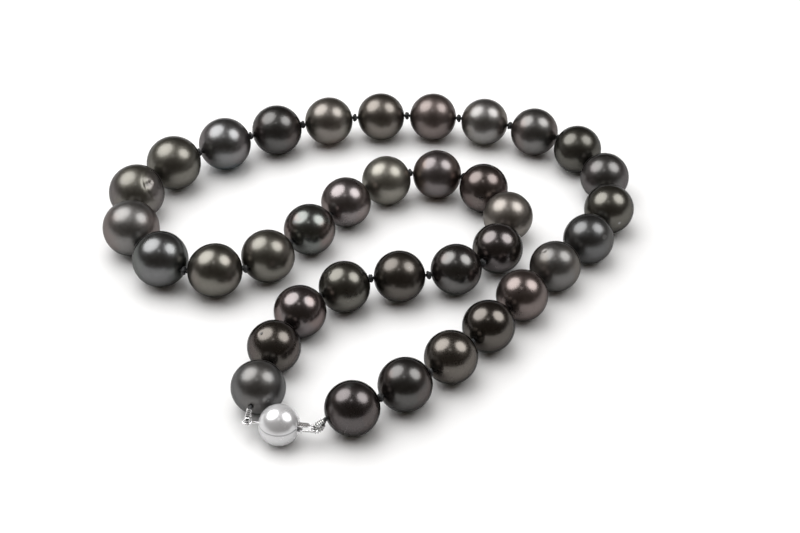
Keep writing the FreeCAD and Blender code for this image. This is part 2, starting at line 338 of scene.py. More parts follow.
class Nodes:
    """A node tree under construction."""

    def __init__(self, tree: bpy.types.NodeTree) -> None:
        """Start with an empty tree."""
        self.tree = tree
        self.tree.nodes.clear()

    def node(self, kind: str, settings: dict, sockets: dict) -> bpy.types.Node:
        """Add a node.

        Args:
            kind: The node's type.
            settings: Its properties, set before its sockets.
            sockets: Values or output sockets for its inputs, by name or number.

        Returns:
            The node.
        """
        made = self.tree.nodes.new(kind)
        for key, setting in settings.items():
            setattr(made, key, setting)
        for key, source in sockets.items():
            if isinstance(source, bpy.types.NodeSocket):
                self.tree.links.new(source, made.inputs[key])
            else:
                made.inputs[key].default_value = source
        return made

    def vector(self, operation: str, *operands: bpy.types.NodeSocket | tuple) -> bpy.types.Node:
        """Vector Math node with these operands."""
        return self.node("ShaderNodeVectorMath", {"operation": operation}, dict(enumerate(operands)))

    def noise(self, place: bpy.types.NodeSocket, scale: float, detail: float = 2.0,
              roughness: float = 0.5) -> Value:
        """Smooth noise about a half at a place."""
        sockets = {"Vector": place, "Scale": scale, "Detail": detail, "Roughness": roughness}
        return Value(self, self.node("ShaderNodeTexNoise", {}, sockets).outputs[0])

    def mix(self, share: Value | float, first: bpy.types.NodeSocket | Colour,
            second: bpy.types.NodeSocket | Colour) -> bpy.types.NodeSocket:
        """Colour between two others, as the share goes from nought to one."""
        first, second = ((*end, 1.0) if isinstance(end, tuple) else end for end in (first, second))
        sockets = {MIX_SHARE: getattr(share, "socket", share), MIX_FIRST: first, MIX_SECOND: second}
        return self.node("ShaderNodeMix", {"data_type": "RGBA"}, sockets).outputs[MIX_COLOUR]

    def shade(self, colour: bpy.types.NodeSocket, amount: Value) -> bpy.types.NodeSocket:
        """Colour made lighter or darker by an amount that varies."""
        sockets = {0: colour, "Scale": amount.socket}
        return self.node("ShaderNodeVectorMath", {"operation": "SCALE"}, sockets).outputs[0]


class Shader(Nodes):
    """One material under construction."""

    def __init__(self, name: str) -> None:
        """Start a material that holds only its shader and its output."""
        self.material = bpy.data.materials.new(name)
        self.material.use_nodes = True
        super().__init__(self.material.node_tree)
        self.surface = self.node("ShaderNodeBsdfPrincipled", {}, {})
        self.node("ShaderNodeOutputMaterial", {}, {"Surface": self.surface.outputs[0]})
        self.position = self.node("ShaderNodeTexCoord", {}, {}).outputs["Object"]

    def set(self, **constants: float | tuple) -> None:
        """Constants on the shader's own sockets, with spaces for underscores."""
        for key, constant in constants.items():
            self.surface.inputs[key.replace("_", " ")].default_value = constant

    def feed(self, name: str, source: Value | bpy.types.NodeSocket) -> None:
        """Link what varies over the surface to one of the shader's sockets."""
        self.tree.links.new(getattr(source, "socket", source), self.surface.inputs[name])

    def bump(self, height: Value, depth: float) -> None:
        """Raise the surface by height times depth, in metres."""
        sockets = {"Height": height.socket, "Distance": depth}
        self.feed("Normal", self.node("ShaderNodeBump", {}, sockets).outputs[0])


class Tint(Enum):
    """Hues of dark nacre, as shares of red, green and blue."""

    CHARCOAL = (1.03, 1.00, 0.97)
    STEEL = (0.99, 1.00, 1.01)
    ICE = (0.85, 1.02, 1.13)
    PEACOCK = (0.98, 1.04, 0.98)
    OLIVE = (1.08, 1.03, 0.89)
    BRONZE = (1.12, 1.00, 0.88)
    CHAMPAGNE = (1.10, 1.00, 0.90)
    MAUVE = (1.08, 0.96, 0.96)
    ROSE = (1.16, 0.95, 0.89)
    COPPER = (1.25, 0.95, 0.80)
    BURGUNDY = (1.22, 0.92, 0.86)


class Depth(Enum):
    """How much light the nacre gives back, from black to bright."""

    BLACK = 0.04
    INKY = 0.07
    DARK = 0.09
    MIDDLE = 0.12
    LIGHT = 0.15
    PALE = 0.18
    BRIGHT = 0.25


def nacre_colour(tint: Tint, depth: Depth) -> Colour:
    """A tint at a depth."""
    red, green, blue = tint.value
    return red * depth.value, green * depth.value, blue * depth.value


def towards(bearing: float, rise: float) -> tuple[float, float, float]:
    """Direction at a bearing from the table's near edge, right positive, and a rise, in degrees."""
    turn, lift = math.radians(bearing), math.radians(rise)
    return math.sin(turn) * math.cos(lift), -math.cos(turn) * math.cos(lift), math.sin(lift)


@dataclass(frozen=True)
class Mark:
    """Small natural mark on a pearl, at a bearing and a rise in degrees.

    Its width and depth are shares of the radius, and a negative depth stands proud. It may have a grey of its
    own, painted on its spot. In the dark pits of pearls 19 and 35, that grey is painted shade.
    """

    bearing: float
    rise: float
    width: float
    depth: float = 0.0
    spot_grey_and_pit_shade: float | None = None

    @property
    def direction(self) -> tuple[float, float, float]:
        """Where it lies from the pearl's middle."""
        return towards(self.bearing, self.rise)


@dataclass(frozen=True)
class Nacre:
    """Lustrous dark nacre of one pearl: its tints, gloss, off-roundness and marks.

    The crown turns below to a second tint and depth, which paint the table's reflection in the lower part. At
    the sides it turns to a tint that paints a coloured rim sheen. A crease is a bearing and a rise, the level
    along it where the pearl steps in, and the step's depth, both as shares of the radius.
    """

    slot: Slot
    crown: tuple[Tint, Depth]
    painted_table_reflection: tuple[Tint, Depth]
    painted_rim_sheen: Tint
    gloss: float
    satin: float = 0.0
    lustre: float = 0.40
    oval: float = 0.020
    marks: tuple[Mark, ...] = ()
    crease: tuple[float, float, float, float] | None = None

    def material(self, number: int, centre: Array, radius: float) -> bpy.types.Material:
        """Nacre whose colour drifts from crown to a painted reflection of the table below, with a painted rim
        sheen at the sides, clouds, growth lines and fine pits.

        Args:
            number: The pearl's number, which sets its clouds apart.
            centre: Its middle.
            radius: Its radius.

        Returns:
            The material.
        """
        shader = Shader(f"nacre_{number:02d}")
        from_middle = shader.vector("SUBTRACT", shader.position, tuple(centre)).outputs[0]
        place = shader.vector("MULTIPLY", from_middle, (1 / radius,) * 3).outputs[0]
        own = shader.vector("ADD", place, (number * 3.7, number * 1.9, number * 5.3)).outputs[0]
        height = Value(shader, shader.vector("DOT_PRODUCT", place, (0.0, -0.30, 0.95)).outputs["Value"])
        clouds = shader.noise(own, 1.3, 2.0)
        flecks = shader.noise(own, 7.0, 3.0, 0.6)
        # Painted reflection: going by height, the pearl's lower part turns to a second colour that paints the
        # table's reflection, lit and shadowed.
        painted_table_reflection = 1 - (height + (clouds - 0.5) * 0.7).ramp(-0.75, 0.05)
        colour = shader.mix(painted_table_reflection, nacre_colour(*self.crown), nacre_colour(*self.painted_table_reflection))
        # Painted sheen: towards the left and right sides, the colour turns to a tint that paints the nacre's
        # coloured sheen at its rim.
        across = Value(shader, shader.vector("DOT_PRODUCT", place, (1.0, 0.0, 0.0)).outputs["Value"])
        drift = (shader.noise(own, 2.0, 1.0) - 0.5) * 0.9
        rim_sheen_share = (across.absolute() + drift).ramp(0.30, 0.85) * 0.8
        colour = shader.mix(rim_sheen_share, colour, nacre_colour(self.painted_rim_sheen, self.crown[1]))
        colour = shader.shade(colour, 0.86 + flecks * 0.28)
        # A mark's grey is painted on its spot. The dark greys in the pits of pearls 19 and 35 are painted
        # shade inside the pit.
        for mark in self.marks:
            if mark.spot_grey_and_pit_shade is not None:
                away = Value(shader, shader.vector("DISTANCE", place, mark.direction).outputs["Value"])
                spot = 1 - (away + (flecks - 0.5) * mark.width * 0.8).ramp(0.3 * mark.width, mark.width)
                colour = shader.mix(spot, colour, (mark.spot_grey_and_pit_shade,) * 3)
        shader.feed("Base Color", colour)
        shader.feed("Roughness", self.gloss + (clouds - 0.5) * 0.10 + (flecks - 0.5) * 0.06)
        pores = shader.node("ShaderNodeTexVoronoi", {"feature": "F1"}, {"Vector": own, "Scale": 9.0})
        pore = 1 - Value(shader, pores.outputs["Distance"]).ramp(0.03, 0.16)
        chosen = Value(shader, pores.outputs["Color"]).ramp(0.62, 0.66)
        skin = shader.noise(own, 30.0, 2.0)
        waves = shader.noise(own, 5.0, 1.0)
        relief = skin * 0.06 + waves * 0.6 - pore * chosen * (0.25 + self.satin * 1.5)
        shader.bump(relief, 0.025 * MM)
        shader.set(Metallic=0.97, Specular_Tint=(0.18, 0.18, 0.18, 1.0), Coat_Weight=self.lustre,
                   Coat_Roughness=0.15, Coat_IOR=1.5)
        return shader.material


@dataclass(frozen=True)
class Silk:
    """Black silk cord: soft, with fine fibres and a faint waxed sheen."""

    colour: Colour = (0.012, 0.013, 0.014)
    lit_fibre: Colour = (0.028, 0.029, 0.030)
    fibre_scale: float = 6000.0

    def material(self) -> bpy.types.Material:
        """Dark silk whose fibres catch the light."""
        shader = Shader("black_silk")
        fibres = shader.noise(shader.position, self.fibre_scale, 3.0, 0.7)
        wear = shader.noise(shader.position, self.fibre_scale / 8, 2.0)
        colour = shader.mix(fibres.ramp(0.45, 0.75), self.colour, self.lit_fibre)
        shader.feed("Base Color", shader.shade(colour, 0.7 + wear * 0.6))
        shader.feed("Roughness", 0.42 + fibres * 0.25)
        shader.bump(fibres + wear * 0.5, 0.03 * MM)
        shader.set(Sheen_Weight=0.10, Sheen_Roughness=0.4)
        return shader.material


@dataclass(frozen=True)
class WhiteMetal:
    """Polished white metal with hairline scratches, smudges and a little tarnish."""

    name: str
    colour: Colour = (0.84, 0.84, 0.85)
    tarnish: Colour = (0.60, 0.59, 0.58)
    gloss: float = 0.15
    tarnish_share: float = 0.30
    metallic: float = 0.84
    seam_height: float | None = None
    seam_width: float = 0.12 * MM
    painted_seam_shade: Colour = (0.36, 0.36, 0.37)

    def material(self) -> bpy.types.Material:
        """Bright metal, duller where it is handled, with painted shade down in a seam."""
        shader = Shader(self.name)
        smudge = shader.noise(shader.position, 420.0, 3.0, 0.6)
        stretched = shader.vector("MULTIPLY", shader.position, (1.0, 9.0, 3.0)).outputs[0]
        hairline = shader.noise(stretched, 2600.0, 2.0, 0.7)
        dull = smudge.ramp(0.45, 0.75) * self.tarnish_share
        colour = shader.mix(dull, self.colour, self.tarnish)
        # Painted shade: a band round the seam's height turns to a darker grey, which paints the shade in the
        # seam's furrow.
        if self.seam_height is not None:
            split = shader.node("ShaderNodeSeparateXYZ", {}, {0: shader.position})
            away = (Value(shader, split.outputs["Z"]) - self.seam_height).absolute()
            shadowed = 1 - away.ramp(0.3 * self.seam_width, 1.6 * self.seam_width)
            colour = shader.mix(shadowed, colour, self.painted_seam_shade)
        shader.feed("Base Color", colour)
        shader.feed("Roughness", self.gloss + dull * 0.25 + (hairline - 0.5) * 0.08)
        shader.bump(hairline * 0.4 + smudge, 0.004 * MM)
        shader.set(Metallic=self.metallic)
        return shader.material


@dataclass(frozen=True)
class Paper:
    """Plain white table top with a faint grain."""

    low_fibre: Colour = (0.852, 0.852, 0.852)
    high_fibre: Colour = (0.868, 0.868, 0.868)

    def material(self) -> bpy.types.Material:
        """Matt white paper."""
        shader = Shader("table_paper")
        grain = shader.noise(shader.position, 900.0, 2.0)
        shader.feed("Base Color", shader.mix(grain, self.low_fibre, self.high_fibre))
        shader.set(Roughness=0.9, Specular_IOR_Level=0.1)
        return shader.material


PEARL_FINISHES: dict[int, Nacre] = {
    1: Nacre(Slot.AUBERGINE, (Tint.MAUVE, Depth.INKY), (Tint.BRONZE, Depth.INKY), Tint.ROSE, 0.28,
        marks=(Mark(-150, 80, 0.22, 0.0, 0.14),)),
    2: Nacre(Slot.AUBERGINE, (Tint.CHARCOAL, Depth.INKY), (Tint.CHARCOAL, Depth.BLACK), Tint.ROSE, 0.30),
    3: Nacre(Slot.BRONZE, (Tint.BRONZE, Depth.DARK), (Tint.OLIVE, Depth.INKY), Tint.BRONZE, 0.28),
    4: Nacre(Slot.GREEN, (Tint.BRONZE, Depth.INKY), (Tint.OLIVE, Depth.BLACK), Tint.BRONZE, 0.24),
    5: Nacre(Slot.AUBERGINE, (Tint.ROSE, Depth.MIDDLE), (Tint.ROSE, Depth.DARK), Tint.ROSE, 0.29),
    6: Nacre(Slot.BRONZE, (Tint.CHARCOAL, Depth.MIDDLE), (Tint.BRONZE, Depth.DARK), Tint.BRONZE, 0.37,
        satin=0.9,
        marks=(Mark(-75, 60, 0.07, 0.016),
               Mark(-85, 45, 0.06, 0.014),
               Mark(-70, 85, 0.05, 0.012))),
    7: Nacre(Slot.SLATE, (Tint.STEEL, Depth.DARK), (Tint.STEEL, Depth.DARK), Tint.CHARCOAL, 0.34,
        marks=(Mark(40, 35, 0.13, 0.006, 0.20),
               Mark(45, 35, 0.10, 0.0, 0.18))),
    8: Nacre(Slot.BRONZE, (Tint.OLIVE, Depth.DARK), (Tint.OLIVE, Depth.DARK), Tint.OLIVE, 0.30,
        marks=(Mark(20, 0, 0.08, 0.010, 0.22),)),
    9: Nacre(Slot.SLATE, (Tint.CHARCOAL, Depth.DARK), (Tint.MAUVE, Depth.DARK), Tint.MAUVE, 0.35,
        marks=(Mark(135, 85, 0.06, -0.010),)),
    10: Nacre(Slot.GREEN, (Tint.OLIVE, Depth.INKY), (Tint.OLIVE, Depth.BLACK), Tint.OLIVE, 0.34),
    11: Nacre(Slot.SLATE, (Tint.CHARCOAL, Depth.MIDDLE), (Tint.ROSE, Depth.LIGHT), Tint.ROSE, 0.35),
    12: Nacre(Slot.SILVER, (Tint.CHARCOAL, Depth.PALE), (Tint.OLIVE, Depth.BRIGHT), Tint.BRONZE, 0.35),
    13: Nacre(Slot.AUBERGINE, (Tint.ROSE, Depth.MIDDLE), (Tint.ROSE, Depth.LIGHT), Tint.ROSE, 0.38),
    14: Nacre(Slot.GREEN, (Tint.BRONZE, Depth.MIDDLE), (Tint.OLIVE, Depth.PALE), Tint.BRONZE, 0.34),
    15: Nacre(Slot.BRONZE, (Tint.CHAMPAGNE, Depth.LIGHT), (Tint.COPPER, Depth.PALE), Tint.OLIVE, 0.36),
    16: Nacre(Slot.AUBERGINE, (Tint.CHARCOAL, Depth.INKY), (Tint.MAUVE, Depth.INKY), Tint.ROSE, 0.34),
    17: Nacre(Slot.SLATE, (Tint.STEEL, Depth.LIGHT), (Tint.ICE, Depth.BRIGHT), Tint.MAUVE, 0.33),
    18: Nacre(Slot.GREEN, (Tint.OLIVE, Depth.MIDDLE), (Tint.OLIVE, Depth.INKY), Tint.OLIVE, 0.36,
        oval=0.034),
    19: Nacre(Slot.SILVER, (Tint.OLIVE, Depth.MIDDLE), (Tint.CHAMPAGNE, Depth.BRIGHT), Tint.MAUVE, 0.38,
        marks=(Mark(45, 45, 0.13, 0.036, 0.045),
               Mark(60, 45, 0.07, 0.028, 0.028),
               Mark(75, 25, 0.09, 0.008, 0.16)),
        crease=(80, 30, 0.80, 0.030)),
    20: Nacre(Slot.SLATE, (Tint.CHARCOAL, Depth.LIGHT), (Tint.STEEL, Depth.DARK), Tint.ROSE, 0.39),
    21: Nacre(Slot.GREEN, (Tint.STEEL, Depth.MIDDLE), (Tint.CHARCOAL, Depth.MIDDLE), Tint.PEACOCK, 0.30),
    22: Nacre(Slot.BRONZE, (Tint.OLIVE, Depth.MIDDLE), (Tint.OLIVE, Depth.MIDDLE), Tint.BRONZE, 0.31,
        oval=0.034),
    23: Nacre(Slot.BRONZE, (Tint.OLIVE, Depth.MIDDLE), (Tint.BRONZE, Depth.INKY), Tint.BRONZE, 0.34),
    24: Nacre(Slot.GREEN, (Tint.PEACOCK, Depth.MIDDLE), (Tint.BURGUNDY, Depth.BLACK), Tint.BURGUNDY, 0.26,
        marks=(Mark(-50, 45, 0.13, 0.006, 0.18),)),
    25: Nacre(Slot.SLATE, (Tint.MAUVE, Depth.LIGHT), (Tint.CHARCOAL, Depth.MIDDLE), Tint.ROSE, 0.29),
    26: Nacre(Slot.SILVER, (Tint.OLIVE, Depth.PALE), (Tint.OLIVE, Depth.PALE), Tint.OLIVE, 0.39),
    27: Nacre(Slot.AUBERGINE, (Tint.MAUVE, Depth.MIDDLE), (Tint.COPPER, Depth.LIGHT), Tint.COPPER, 0.34),
    28: Nacre(Slot.AUBERGINE, (Tint.ROSE, Depth.DARK), (Tint.BRONZE, Depth.BLACK), Tint.BURGUNDY, 0.29),
    29: Nacre(Slot.SILVER, (Tint.CHAMPAGNE, Depth.PALE), (Tint.CHAMPAGNE, Depth.BRIGHT),
        Tint.CHAMPAGNE, 0.37),
    30: Nacre(Slot.AUBERGINE, (Tint.MAUVE, Depth.DARK), (Tint.BRONZE, Depth.BLACK), Tint.BRONZE, 0.25),
    31: Nacre(Slot.GREEN, (Tint.CHARCOAL, Depth.DARK), (Tint.PEACOCK, Depth.MIDDLE), Tint.ROSE, 0.26),
    32: Nacre(Slot.BRONZE, (Tint.BRONZE, Depth.INKY), (Tint.BRONZE, Depth.DARK), Tint.BRONZE, 0.31,
        marks=(Mark(40, 55, 0.05, 0.008, 0.15),)),
    33: Nacre(Slot.GREEN, (Tint.OLIVE, Depth.DARK), (Tint.CHARCOAL, Depth.BLACK), Tint.OLIVE, 0.29,
        oval=0.030,
        marks=(Mark(-75, 55, 0.06, 0.010, 0.16),)),
    34: Nacre(Slot.AUBERGINE, (Tint.MAUVE, Depth.MIDDLE), (Tint.ICE, Depth.INKY), Tint.BURGUNDY, 0.25),
    35: Nacre(Slot.BRONZE, (Tint.BRONZE, Depth.INKY), (Tint.BRONZE, Depth.BLACK), Tint.ROSE, 0.27,
        marks=(Mark(-60, 60, 0.075, 0.022, 0.035),)),
    36: Nacre(Slot.SLATE, (Tint.CHARCOAL, Depth.MIDDLE), (Tint.STEEL, Depth.BLACK), Tint.STEEL, 0.38,
        marks=(Mark(25, 10, 0.06, 0.006, 0.21),)),
}


# The strand


@dataclass
class Pearl:
    """One pearl, a little off round, drilled through along its joint's axis."""

    number: int
    finish: Nacre
    plain_grid: tuple[int, int] = (64, 96)
    marked_grid: tuple[int, int] = (120, 170)
    hole_radius: float = 0.40 * MM
    hole_rim: float = 0.14 * MM
    centre: Array = field(init=False)
    axis: Array = field(init=False)
    radius: float = field(init=False)

    def __post_init__(self) -> None:
        """Read its place, line of drilling and size from the frame."""
        self.centre, self.axis = joint_place(f"turn_pearl_{self.number:02d}")
        low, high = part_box(f"pearl_{self.number:02d}")
        self.radius = (high.z - low.z) / 2

    @property
    def body(self) -> str:
        """Name of the CAD body it turns with."""
        return f"bead_{self.number:02d}"

    @property
    def grid(self) -> tuple[int, int]:
        """Points along and round the skin, closer together on a pearl with marks."""
        return self.marked_grid if self.finish.marks or self.finish.crease else self.plain_grid

    def profile(self) -> Array:
        """Outline of one half in (along, out): over the skin, round one rim, back by the bore."""
        start = math.asin((self.hole_radius + self.hole_rim) / self.radius)
        polar = np.linspace(start, np.pi - start, self.grid[0])
        skin = np.stack([np.cos(polar), np.sin(polar)], -1) * self.radius
        turn = np.linspace(0.25, 1.0, 4) * np.pi / 2
        rim_along = skin[-1, 0] + self.hole_rim * (1 - np.cos(turn))
        rim_out = self.hole_radius + self.hole_rim * (1 - np.sin(turn))
        far_rim = np.stack([rim_along, rim_out], -1)
        near_rim = np.stack([-rim_along[::-1], rim_out[::-1]], -1)
        middle = np.array([[0.0, self.hole_radius]])
        return np.concatenate([skin, far_rim, middle, near_rim])

    def shape(self, directions: Array) -> Array:
        """Distance from the middle as a share of the radius, never above one.

        It is one less a mix of slow waves over the ball, which make it off round, less a round
        dip for each mark, exp(-(angle / width)^2), and less a furrow for the crease.

        Args:
            directions: Unit vectors from the middle.

        Returns:
            The share for each.
        """
        random = np.random.default_rng(100 + self.number)
        waves = np.zeros(directions.shape[:-1])
        for weight, speed in ((1.0, 1.6), (0.7, 2.3), (0.25, 4.5)):
            across = unit(random.normal(size=3))
            waves = waves + weight * np.sin(speed * (directions @ across) + random.uniform(0, 2 * np.pi))
        waves = (waves - waves.min()) / (waves.max() - waves.min())
        share = 1 - self.finish.oval * waves
        for mark in self.finish.marks:
            off = np.arccos(np.clip(directions @ np.array(mark.direction), -1, 1))
            share = share - mark.depth * np.exp(-(off / mark.width) ** 2)
        if self.finish.crease is not None:
            bearing, rise, level, depth = self.finish.crease
            off = directions @ np.array(towards(bearing, rise)) - level
            share = share - depth * (1 / (1 + np.exp(-off / 0.05)) + 0.5 * np.exp(-(off / 0.035) ** 2))
        return np.minimum(share, 1.0)

    def build(self) -> bpy.types.Object:
        """Turn the profile round the hole's line and pull it to its shape.

        Returns:
            The pearl, closed through its bore.
        """
        profile = self.profile()
        side = unit(np.cross(self.axis, UP))
        angle = np.linspace(0, 2 * np.pi, self.grid[1], endpoint=False)
        ring = np.cos(angle)[:, None] * side + np.sin(angle)[:, None] * np.cross(side, self.axis)
        round_grid = profile[:, 0, None, None] * self.axis + profile[:, 1, None, None] * ring[None]
        share = self.shape(unit(round_grid))
        shell = Shell()
        shell.add_grid(self.centre + round_grid * share[..., None], loop_rows=True)
        nacre = self.finish.material(self.number, self.centre, self.radius)
        made = shell.piece(f"nacre_{self.number:02d}", nacre)
        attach(made, self.body)
        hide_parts(f"pearl_{self.number:02d}")
        return made


@dataclass
class SilkThread:
    """Twisted black silk through the pearls, with a knot in each gap."""

    pearls: list[Pearl]
    clasp: "Clasp"
    cord_radius: float = 0.34 * MM
    ply_pitch: float = 1.1 * MM
    plies: int = 3
    furrow: float = 0.20
    columns: int = 18
    knot_core: float = 0.64 * MM
    knot_length: float = 0.17 * MM
    knot_strand: float = 0.30 * MM
    knot_lean: float = 0.02 * MM
    knot_points: int = 72
    knot_columns: int = 9
    gap_points: int = 7
    inside_pearl: float = 0.3 * MM

    def knot_centre(self, number: int) -> Array:
        """Middle of the gap after a pearl."""
        here, after = self.pearls[number - 1], self.pearls[number]
        gap_start = here.centre + here.axis * here.radius
        gap_end = after.centre - after.axis * after.radius
        return (gap_start + gap_end) / 2

    def cord(self, path: Array) -> Array:
        """Three-ply cord along a path, whose plies turn once in each pitch."""
        run = distances_along(path)
        path, sizes = rounded_tube_ends(path, self.cord_radius)
        run = np.interp(np.arange(len(path)), np.arange(len(run)) + TUBE_END_RINGS - 1, run)
        twist = run * 2 * np.pi / self.ply_pitch
        return tube(path, sizes, UP, self.columns, self.plies, self.furrow, twist)

    def knot(self, number: int) -> Array:
        """Overhand knot wound round the cord: a ring that goes twice round and three times through.

        It is (c + s cos 3t) out from the line at angle 2t and l sin 3t along it, as a tube.

        Args:
            number: The pearl before the knot.

        Returns:
            The tube's grid, closed along and round.
        """
        along = unit(self.pearls[number - 1].axis + self.pearls[number].axis)
        side = unit(np.cross(along, UP))
        random = np.random.default_rng(700 + number)
        t = np.linspace(0, 2 * np.pi, self.knot_points, endpoint=False)
        out = self.knot_core * (0.72 + 0.28 * np.cos(3 * t))
        turn = 2 * t + random.uniform(0, 2 * np.pi)
        lean = self.knot_length * np.sin(3 * t) + self.knot_lean * np.sin(t + random.uniform(0, 6))
        line = out[:, None] * (np.cos(turn)[:, None] * side + np.sin(turn)[:, None] * np.cross(side, along))
        line = self.knot_centre(number) + line + lean[:, None] * along
        return closed_tube(line, self.knot_strand, along, self.knot_columns)

    def section_path(self, section: int) -> Array:
        """Line of one section's cord: dense in the gaps, plain inside the pearls."""
        first = (section - 1) * PEARLS_PER_SECTION
        from_knot = np.linspace(0.12, 1, self.gap_points)[:, None]
        to_knot = np.linspace(0.14, 0.98, self.gap_points)[:, None]
        parts = []
        for index in range(first, first + PEARLS_PER_SECTION):
            pearl = self.pearls[index]
            inside = pearl.radius - self.inside_pearl
            if index > 0:
                start = self.knot_centre(index) if index > first else pearl.centre - pearl.axis * pearl.radius
                stop = pearl.centre - pearl.axis * inside
                parts.append(start + from_knot * (stop - start))
            else:
                parts.append((pearl.centre - pearl.axis * pearl.radius)[None])
            parts.append((pearl.centre + pearl.axis * inside)[None])
            if index < PEARL_COUNT - 1:
                start = pearl.centre + pearl.axis * inside
                stop = self.knot_centre(index + 1)
                parts.append(start + to_knot * (stop - start))
            else:
                parts.append((pearl.centre + pearl.axis * pearl.radius)[None])
        return np.concatenate(parts)

    def build(self) -> None:
        """Make each section's cord and knots, and the end loops inside the French wire."""
        silk = Silk().material()
        for section in range(1, SECTION_COUNT + 1):
            shell = Shell()
            shell.add_grid(self.cord(self.section_path(section)))
            last = section * PEARLS_PER_SECTION
            for number in range(last - PEARLS_PER_SECTION + 1, min(last, PEARL_COUNT - 1) + 1):
                shell.add_grid(self.knot(number), loop_rows=True)
            if section == 1:
                shell.add_grid(self.cord(self.clasp.loop(Side.TONGUE, self.pearls[0]).path))
            if section == SECTION_COUNT:
                shell.add_grid(self.cord(self.clasp.loop(Side.BALL, self.pearls[-1]).path))
            made = shell.piece(f"silk_{section:02d}", silk)
            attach(made, f"strand_{section:02d}")
            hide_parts(f"thread_{section:02d}")


# The clasp


@dataclass
class EndLoop:
    """Teardrop loop of cord round a fitting's wire, with its point at an end pearl."""

    eye: Array
    tip: Array
    bend: float
    path: Array = field(init=False)

    def __post_init__(self) -> None:
        """Lay out one leg, the bend round the wire and the other leg, evenly spaced."""
        ahead = self.tip - self.eye
        length = float(np.linalg.norm(ahead))
        ahead = unit(ahead)
        side = unit(np.cross(ahead, UP))
        above = np.cross(side, ahead)
        spread = math.acos(self.bend / length)
        angle = np.linspace(spread, 2 * np.pi - spread, 60)
        bend = self.bend * np.stack([np.cos(angle), np.sin(angle)], -1)
        share = np.linspace(0, 1, 30)[:, None]
        point = np.array([length, 0.0])
        leg_out = point + share * (bend[0] - point)
        leg_back = bend[-1] + share * (point - bend[-1])
        flat = np.concatenate([leg_out, bend[1:-1], leg_back])
        steps = distances_along(flat)
        even = np.linspace(0, steps[-1], 120)
        flat = np.stack([np.interp(even, steps, flat[:, i]) for i in range(2)], -1)
        self.path = self.eye + flat[:, :1] * ahead + flat[:, 1:] * above


